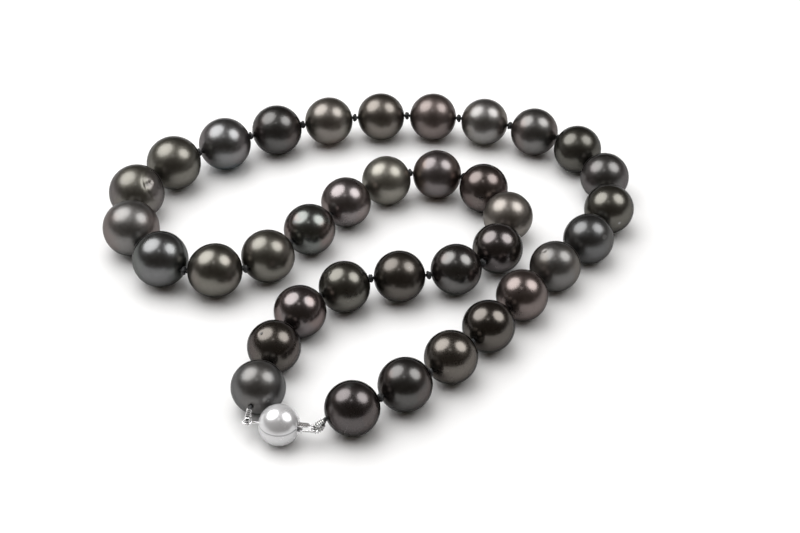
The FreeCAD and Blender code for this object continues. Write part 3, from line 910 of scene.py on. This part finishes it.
@dataclass
class Clasp:
    """Ball clasp seen from its ball: x towards the tongue, y across, z up."""

    coil_radius: float = 0.44 * MM
    coil_wire: float = 0.125 * MM
    coil_pitch: float = 0.41 * MM
    coil_start: float = 0.61 * MM
    coil_points: int = 14
    coil_columns: int = 7
    bare_leg: float = 1.55 * MM
    loop_tip: float = 0.16 * MM
    seam_width: float = 0.12 * MM
    seam_depth: float = 0.045 * MM
    edge: float = 0.045 * MM
    ball_wall: float = 0.35 * MM
    guide_wall: float = 0.20 * MM
    lip_room: float = 0.10 * MM
    lip_length: float = 0.30 * MM
    block_before_bail: float = 0.35 * MM
    fold_radius: float = 0.325 * MM
    post_radius: float = 0.25 * MM
    post_share: float = 0.42
    post_swell: float = 0.25
    swell_length: float = 0.35 * MM
    mouth_ease: float = 0.03
    first_ring: float = 0.012
    plate_points: int = 96
    ring_points: int = 72
    block_edge: float = 0.06 * MM
    tab_edge: float = 0.05 * MM
    lip_edge: float = 0.03 * MM
    lip_rise: float = 0.02 * MM
    leaf_in_block: float = 0.05 * MM
    middle: Array = field(init=False)
    axes: Array = field(init=False)
    ball_radius: float = field(init=False)
    metal: bpy.types.Material = field(init=False)

    def __post_init__(self) -> None:
        """Read the ball's middle and size, and the clasp's line, from the frame."""
        ring, _ = joint_place("clasp_ball_swing")
        bail, _ = joint_place("clasp_tongue_swing")
        line = unit((bail - ring) * np.array([1.0, 1.0, 0.0]))
        self.axes = np.stack([line, np.cross(UP, line), UP])
        low, high = (np.array(corner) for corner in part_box("clasp_ball_cup"))
        self.ball_radius = (high[1] - low[1]) / 2
        self.middle = low + self.ball_radius
        self.metal = WhiteMetal("polished_clasp").material()

    def place(self, points: Array) -> Array:
        """Points of the clasp's own frame in the row frame."""
        return self.middle + points @ self.axes

    def extent(self, node: str) -> tuple[Array, Array]:
        """Lowest and highest corner of a CAD node in the clasp's own frame."""
        local = (node_points(node) - self.middle) @ self.axes.T
        return local.min(0), local.max(0)

    def fit(self, made: bpy.types.Object, body: str, *nodes: str) -> None:
        """Let a piece ride on a body and stand for CAD nodes."""
        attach(made, body)
        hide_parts(*nodes)

    def loop(self, side: Side, pearl: Pearl) -> EndLoop:
        """The cord's end loop on one side.

        Args:
            side: Which side of the clasp.
            pearl: The end pearl there.

        Returns:
            The loop, from the fitting's wire to the pearl's hole.
        """
        if side is Side.TONGUE:
            joint, node, outward = "clasp_tongue_swing", "tongue_bail", pearl.axis
        else:
            joint, node, outward = "clasp_ball_swing", "clasp_end_ring", -pearl.axis
        pivot, _ = joint_place(joint)
        low, high = self.extent(node)
        wire = (high[2] - low[2]) / 2
        eye_radius = high[1] - wire
        pivot = pivot * np.array([1.0, 1.0, 0.0]) + UP * (self.middle[2] + (low[2] + high[2]) / 2)
        tip = pearl.centre - outward * (pearl.radius + self.loop_tip)
        return EndLoop(pivot + outward * eye_radius, tip, eye_radius)

    def build_french_wire(self, side: Side, pearl: Pearl) -> None:
        """Fine wire coiled round an end loop, up to where its second leg is bare silk.

        The coil's middle line is path + r (cos a first + sin a second), with a one turn in each
        pitch, and the wire is a thin tube round that line.

        Args:
            side: Which side of the clasp.
            pearl: The end pearl there.
        """
        path = self.loop(side, pearl).path
        run = distances_along(path)
        start, stop = self.coil_start, run[-1] - self.bare_leg
        turns = round((stop - start) / self.coil_pitch)
        even = np.linspace(start, stop, turns * self.coil_points + 1)
        middle = np.stack([np.interp(even, run, path[:, i]) for i in range(3)], -1)
        side_way = unit(np.cross(path[20] - path[0], UP))
        first, second = path_frames(middle, side_way)
        angle = np.linspace(0, turns * 2 * np.pi, len(even))
        ring = np.cos(angle)[:, None] * first + np.sin(angle)[:, None] * second
        line = middle + self.coil_radius * ring
        along = unit(np.gradient(line, axis=0))
        across = np.cross(along, ring)
        turn = np.linspace(0, 2 * np.pi, self.coil_columns, endpoint=False)
        section = np.cos(turn)[None, :, None] * ring[:, None] + np.sin(turn)[None, :, None] * across[:, None]
        shell = Shell()
        shell.add_grid(line[:, None] + self.coil_wire * section)
        body = "strand_01" if side is Side.TONGUE else f"strand_{SECTION_COUNT:02d}"
        wire = bpy.data.materials.get("coiled_wire") or WhiteMetal(
            "coiled_wire", colour=(0.97, 0.97, 0.97), tarnish=(0.72, 0.71, 0.69), gloss=0.16,
            metallic=0.72).material()
        made = shell.piece(f"french_wire_{side.value}_side", wire)
        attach(made, body)
        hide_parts(f"gimp_{side.value}_side")

    @staticmethod
    def round_the_line(polar: Array, angle: Array) -> Array:
        """Unit vectors (cos p, sin p cos a, sin p sin a), with a row for each polar angle p."""
        return np.stack(np.broadcast_arrays(
            np.cos(polar)[:, None], np.sin(polar)[:, None] * np.cos(angle)[None],
            np.sin(polar)[:, None] * np.sin(angle)[None]), -1)

    def build_ball(self) -> None:
        """Hollow ball turned about the clasp's line, with its mouth and the seam's furrow.

        The skin's radius is R less depth exp(-((z - seam) / width)^2), and the wall comes back
        inside it from the mouth's edge to the post's hole.
        """
        low, high = self.extent("clasp_mouth_plate")
        mouth = (high[1] - low[1]) / 2
        seam = self.extent("clasp_ball_cap")[0][2]
        post = self.extent("clasp_post_washer")[1][1] * self.post_share
        start = math.asin(mouth / self.ball_radius)
        stop = np.pi - math.asin(post / self.ball_radius)
        near_mouth = start + np.array([0.0, self.first_ring])
        polar = np.concatenate([near_mouth, np.linspace(start + self.mouth_ease, stop, 170)])
        angle = np.linspace(0, 2 * np.pi, 300, endpoint=False)
        out = self.round_the_line(polar, angle)
        height = out[..., 2] * self.ball_radius
        furrow = self.seam_depth * np.exp(-((height - seam) / self.seam_width) ** 2)
        eased = self.edge * np.clip(1 - (polar - start) / self.mouth_ease, 0, 1)[:, None] ** 2
        skin = out * (self.ball_radius - furrow - eased)[..., None]
        inner_radius = self.ball_radius - self.ball_wall
        inner_start = math.asin(min(mouth / inner_radius, 0.99))
        inner = np.linspace(np.pi - math.asin(post / inner_radius), inner_start, 40)
        inside = inner_radius * self.round_the_line(inner, angle)
        satin = WhiteMetal(
            "satin_ball", colour=(0.66, 0.66, 0.67), tarnish=(0.62, 0.62, 0.63), gloss=0.25,
            tarnish_share=0.12, metallic=0.50, seam_height=float(self.middle[2] + seam)).material()
        shell = Shell()
        shell.add_grid(self.place(np.concatenate([skin, inside])), loop_rows=True)
        self.fit(shell.piece("ball_shell", satin), "clasp_ball", "clasp_ball_cup", "clasp_ball_cap")

    def rounded_block(self, low: Array, high: Array, edge: float, round_end: bool = False) -> Array:
        """Plate with eased edges, its outline drawn in plan and stepped up through its height.

        Its corners in plan are twice as round as its edges.

        Args:
            low: Lowest corner in the clasp's frame.
            high: Highest corner.
            edge: Radius of the eased edges.
            round_end: Whether the end towards +x is a half circle.

        Returns:
            The grid, from the underside to the top.
        """
        corner = np.linspace(0, np.pi / 2, 7)
        half = (high[1] - low[1]) / 2
        near = 2 * edge
        far = half if round_end else near
        radius = np.array([far, far, near, near])
        centres = np.array([[high[0] - far, high[1] - far], [high[0] - far, low[1] + far],
                            [low[0] + near, low[1] + near], [low[0] + near, high[1] - near]])
        begins = np.array([np.pi / 2, 0.0, -np.pi / 2, -np.pi])
        angle = begins[:, None] - corner[None]
        rim = np.stack([np.cos(angle), np.sin(angle)], -1)
        outline = (centres[:, None] + rim * radius[:, None, None]).reshape(-1, 2)
        inward = -rim.reshape(-1, 2)
        step = np.linspace(0, np.pi / 2, 4)
        flat_inset = [edge * 1.5]
        inset = np.concatenate([flat_inset, edge * (1 - np.sin(step)),
                                edge * (1 - np.cos(step)), flat_inset])
        rise = np.concatenate([[low[2]], low[2] + edge * (1 - np.cos(step)),
                               high[2] - edge * (1 - np.sin(step)), [high[2]]])
        flat = outline[None] + inward[None] * inset[:, None, None]
        return np.concatenate([flat, np.broadcast_to(rise[:, None, None], flat.shape[:2] + (1,))], -1)

    def strip(self, line: Array, width: float, thickness: float) -> Array:
        """Flat spring strip with eased edges, carried along a line in the clasp's x-z plane."""
        corner = np.linspace(0, np.pi / 2, 4)
        edge = min(self.edge, thickness * 0.3)
        y_half, z_half = width / 2 - edge, thickness / 2 - edge
        angle = np.concatenate([corner, corner + np.pi / 2, corner + np.pi, corner + 1.5 * np.pi])
        y = np.repeat([y_half, -y_half, -y_half, y_half], 4) + edge * np.cos(angle)
        z = np.repeat([z_half, z_half, -z_half, -z_half], 4) + edge * np.sin(angle)
        along = unit(np.gradient(line, axis=0))
        above = np.cross(along, np.array([0.0, 1.0, 0.0]))
        across = np.array([0.0, 1.0, 0.0])
        return line[:, None] + y[None, :, None] * across + z[None, :, None] * above[:, None]

    def build_ball_fittings(self) -> None:
        """Mouth plate, its slot sized from the guide channel, and the end ring on its post."""
        low, high = self.extent("clasp_mouth_plate")
        channel_low, channel_high = self.extent("clasp_guide_channel")
        slot_half = channel_high[1] - self.guide_wall
        slot_low = channel_low[2] + self.guide_wall
        slot_high = self.extent("tongue_spring_leaf")[1][2] + self.lip_room
        angle = np.linspace(0, 2 * np.pi, self.plate_points, endpoint=False)
        around = np.stack([np.cos(angle), np.sin(angle)], -1)
        circle = around * high[1]
        across, upward = np.abs(around).T
        scale = 1 / np.maximum(across / slot_half, upward / ((slot_high - slot_low) / 2))
        slot = around * scale[:, None] + np.array([0, (slot_high + slot_low) / 2])
        back, bevel, front = low[0], high[0] - self.edge, high[0]
        rows = []
        for x, ring in ((back, slot), (bevel, slot), (front, slot * 1.03),
                        (front, circle * 0.97), (bevel, circle), (back, circle)):
            rows.append(np.concatenate([np.full((self.plate_points, 1), x), ring], -1))
        plate = Shell()
        plate.add_grid(self.place(np.stack(rows)), loop_rows=True)
        self.fit(plate.piece("ball_mouth_plate", self.metal, 35), "clasp_ball", "clasp_mouth_plate")
        low, high = self.extent("clasp_end_ring")
        wire = (high[2] - low[2]) / 2
        radius = high[1] - wire
        centre_x = low[0] + wire + radius
        angle = np.linspace(0, 2 * np.pi, self.ring_points, endpoint=False)
        ring = np.stack([centre_x + radius * np.cos(angle), radius * np.sin(angle), 0 * angle], -1)
        shell = Shell()
        shell.add_grid(self.place(closed_tube(ring, wire, UP, 20)), loop_rows=True)
        post = np.stack([np.linspace(centre_x + radius, high[0], 12), np.zeros(12), np.zeros(12)], -1)
        from_ring = post[:, 0] - centre_x - radius
        swell = 1 + self.post_swell * np.exp(-(from_ring / self.swell_length) ** 2)
        shell.add_grid(self.place(tube(post, self.post_radius * swell, UP, 24)))
        self.fit(shell.piece("ball_end_ring", self.metal), "clasp_ball", "clasp_end_ring")

    def build_tongue(self) -> None:
        """Folded lower leaf with its end block, the sprung leaf, the press tab and the bail."""
        low, high = self.extent("tongue_base_leaf")
        leaf_low, leaf_high = self.extent("tongue_spring_leaf")
        tab_low, tab_high = self.extent("tongue_press_tab")
        bail_low, bail_high = self.extent("tongue_bail")
        thick = tab_high[2] - tab_low[2]
        width = leaf_high[1] - leaf_low[1]
        block_from = bail_low[0] - self.block_before_bail
        leaf_points = (node_points("tongue_base_leaf") - self.middle) @ self.axes.T
        block_top = leaf_points[leaf_points[:, 0] > block_from - self.edge, 2].max()
        fold_x = low[0] + self.fold_radius + thick / 2
        fold_z = low[2] + thick / 2 + self.fold_radius
        turn = np.linspace(-np.pi / 2, -1.5 * np.pi, 24)
        arc = np.stack([fold_x + self.fold_radius * np.cos(turn), np.zeros(24),
                        fold_z + self.fold_radius * np.sin(turn)], -1)
        run = np.linspace(block_from + self.leaf_in_block, fold_x, 16)[:-1]
        flat = np.stack([run, np.zeros(15), np.full(15, low[2] + thick / 2)], -1)
        shell = Shell()
        shell.add_grid(self.place(self.strip(np.concatenate([flat, arc]), width, thick)))
        block_low = np.array([block_from, low[1], low[2]])
        block_high = np.array([high[0], high[1], block_top])
        shell.add_grid(self.place(self.rounded_block(block_low, block_high, self.block_edge)))
        self.fit(shell.piece("tongue_folded_leaf", self.metal, 35), "clasp_tongue", "tongue_base_leaf")
        shell = Shell()
        x = np.linspace(leaf_low[0], leaf_high[0], 20)
        lip_from = leaf_high[0] - self.lip_length
        rise = np.interp(x, [leaf_low[0], lip_from], [leaf_low[2] + thick / 2, tab_low[2] + thick / 2])
        shell.add_grid(self.place(self.strip(np.stack([x, np.zeros(20), rise], -1), width, thick)))
        lip_low = np.array([lip_from, leaf_low[1], tab_low[2] + self.lip_rise])
        shell.add_grid(self.place(self.rounded_block(lip_low, leaf_high, self.lip_edge)))
        self.fit(shell.piece("tongue_sprung_leaf", self.metal, 35), "clasp_spring", "tongue_spring_leaf")
        shell = Shell()
        shell.add_grid(self.place(self.rounded_block(tab_low, tab_high, self.tab_edge, round_end=True)))
        self.fit(shell.piece("tongue_press_plate", self.metal, 35), "clasp_spring", "tongue_press_tab")
        wire = (bail_high[2] - bail_low[2]) / 2
        radius = bail_high[1] - wire
        height = (bail_high[2] + bail_low[2]) / 2
        centre_x = bail_high[0] - wire - radius
        turn = np.linspace(-np.pi / 2, np.pi / 2, 32)
        bend = np.stack([centre_x + radius * np.cos(turn), radius * np.sin(turn), np.full(32, height)], -1)
        reach = np.linspace(bail_low[0], centre_x, 8)[:-1]
        leg = np.stack([reach, np.full(7, -radius), np.full(7, height)], -1)
        line = np.concatenate([leg, bend, leg[::-1] * np.array([1, -1, 1])])
        shell = Shell()
        shell.add_grid(self.place(tube(line, np.full(len(line), wire), UP, 20)))
        self.fit(shell.piece("tongue_bail_wire", self.metal), "clasp_tongue", "tongue_bail")

    def dress_hidden_parts(self) -> None:
        """Polished metal on the CAD pieces inside the ball."""
        for name in ("clasp_guide_channel", "clasp_post_washer"):
            for slot in frame["nodes"][name].material_slots:
                slot.material = self.metal
            LOG.info("%s: dressed", name)

    def build(self, first: Pearl, last: Pearl) -> None:
        """Make every piece of the clasp and the French wire on both its sides."""
        self.build_ball()
        self.build_ball_fittings()
        self.build_tongue()
        self.dress_hidden_parts()
        self.build_french_wire(Side.TONGUE, first)
        self.build_french_wire(Side.BALL, last)


# Studio


@dataclass(frozen=True)
class Lamp:
    """Round soft light: where it stands from the necklace, how wide it is and how bright.

    A mirrored light shows in polished surfaces, and a lighting one lights matt ones.
    """

    name: str
    towards: tuple[float, float, float]
    distance: float
    width: float
    radiance: float
    mirrored: bool = True
    lighting: bool = True

    def build(self, target: Array) -> None:
        """Stand the light and turn it to the target.

        A disc of radius r and radiance L gives out pi r^2 times pi L watts.
        """
        away = unit(np.array(self.towards))
        lamp = bpy.data.lights.new(self.name, "AREA")
        lamp.shape = "DISK"
        lamp.size = self.width
        lamp.energy = self.radiance * np.pi * np.pi * (self.width / 2) ** 2
        made = bpy.data.objects.new(self.name, lamp)
        made.location = Vector(target + away * self.distance)
        made.rotation_mode = "QUATERNION"
        made.rotation_quaternion = Vector(away).to_track_quat("Z", "Y")
        made.visible_glossy = self.mirrored
        made.visible_diffuse = self.lighting
        bpy.context.scene.collection.objects.link(made)


@dataclass
class Studio:
    """White table, soft lights over it and the camera."""

    aim: tuple[float, float, float] = (0.00644, 0.00130, 0.0)
    eye: tuple[float, float, float] = (0.00644, -0.2991, 0.2424)
    lens: float = 81.9
    table: float = 1.6
    table_lines: int = 9
    glow: Colour = (0.80, 0.80, 0.80)
    dark: Colour = (0.064, 0.052, 0.041)
    glow_top: tuple[float, float] = (0.085, 0.175)
    near_fade: tuple[float, float] = (-0.75, -0.35)
    lamps: tuple[Lamp, ...] = (
        Lamp("left_softbox", (-0.54, 0.218, 0.812), 0.60, 0.60, 5.0, lighting=False),
        Lamp("right_softbox", (0.61, 0.055, 0.788), 0.80, 0.60, 5.5, lighting=False),
        Lamp("overhead_lamp", (-0.06, -0.32, 0.95), 0.80, 0.06, 14.0),
        Lamp("left_cloth", (-0.50, 0.30, 0.812), 0.70, 1.10, 2.0, mirrored=False),
        Lamp("top_cloth", (0.20, 0.20, 0.96), 0.80, 1.60, 1.42, mirrored=False),
    )

    def build_table(self) -> None:
        """Flat table top on a coarse grid."""
        edge = np.linspace(-self.table, self.table, self.table_lines)
        across, deep = np.meshgrid(edge, edge)
        points = np.stack([across.ravel(), deep.ravel(), np.zeros(across.size)], -1)
        index = np.arange(across.size).reshape(across.shape)
        corners = [index[:-1, :-1], index[:-1, 1:], index[1:, 1:], index[1:, :-1]]
        quads = np.stack(corners, -1).reshape(-1, 4)
        mesh = bpy.data.meshes.new("table_top")
        mesh.from_pydata(points.tolist(), [], quads.tolist())
        mesh.materials.append(Paper().material())
        made = bpy.data.objects.new("table_top", mesh)
        bpy.context.scene.collection.objects.link(made)

    def build_room(self) -> None:
        """Dim room that lightens towards the table's far edge."""
        world = bpy.data.worlds.new("room")
        bpy.context.scene.world = world
        world.use_nodes = True
        room = Nodes(world.node_tree)
        place = room.node("ShaderNodeTexCoord", {}, {}).outputs["Generated"]
        split = room.node("ShaderNodeSeparateXYZ", {}, {0: place}).outputs
        height, depth = Value(room, split["Z"]), Value(room, split["Y"])
        low_and_far = (1 - height.ramp(*self.glow_top)) * depth.ramp(*self.near_fade)
        colour = room.mix(low_and_far, self.dark, self.glow)
        sky = room.node("ShaderNodeBackground", {}, {"Color": colour})
        room.node("ShaderNodeOutputWorld", {}, {"Surface": sky.outputs[0]})

    def build_camera(self) -> None:
        """Camera over the near edge of the table, turned to the necklace."""
        camera = bpy.data.cameras.new("camera")
        camera.lens = self.lens
        camera.sensor_width = 36.0
        camera.clip_start, camera.clip_end = 0.01, 20.0
        made = bpy.data.objects.new("camera", camera)
        made.location = self.eye
        made.rotation_mode = "QUATERNION"
        made.rotation_quaternion = (Vector(self.aim) - Vector(self.eye)).to_track_quat("-Z", "Y")
        bpy.context.scene.collection.objects.link(made)
        bpy.context.scene.camera = made

    def build(self) -> None:
        """Set out the whole studio."""
        self.build_table()
        self.build_room()
        self.build_camera()
        for lamp in self.lamps:
            lamp.build(np.array(self.aim))
        bpy.context.scene.view_settings.view_transform = "Standard"


def main() -> None:
    """Build the studio, the strand and the clasp."""
    logging.basicConfig(level=logging.INFO, format="%(message)s")
    Studio().build()
    pearls = [Pearl(number, PEARL_FINISHES[number]) for number in range(1, PEARL_COUNT + 1)]
    for pearl in pearls:
        pearl.build()
    clasp = Clasp()
    clasp.build(pearls[0], pearls[-1])
    SilkThread(pearls, clasp).build()


if __name__ == "__main__":
    main()
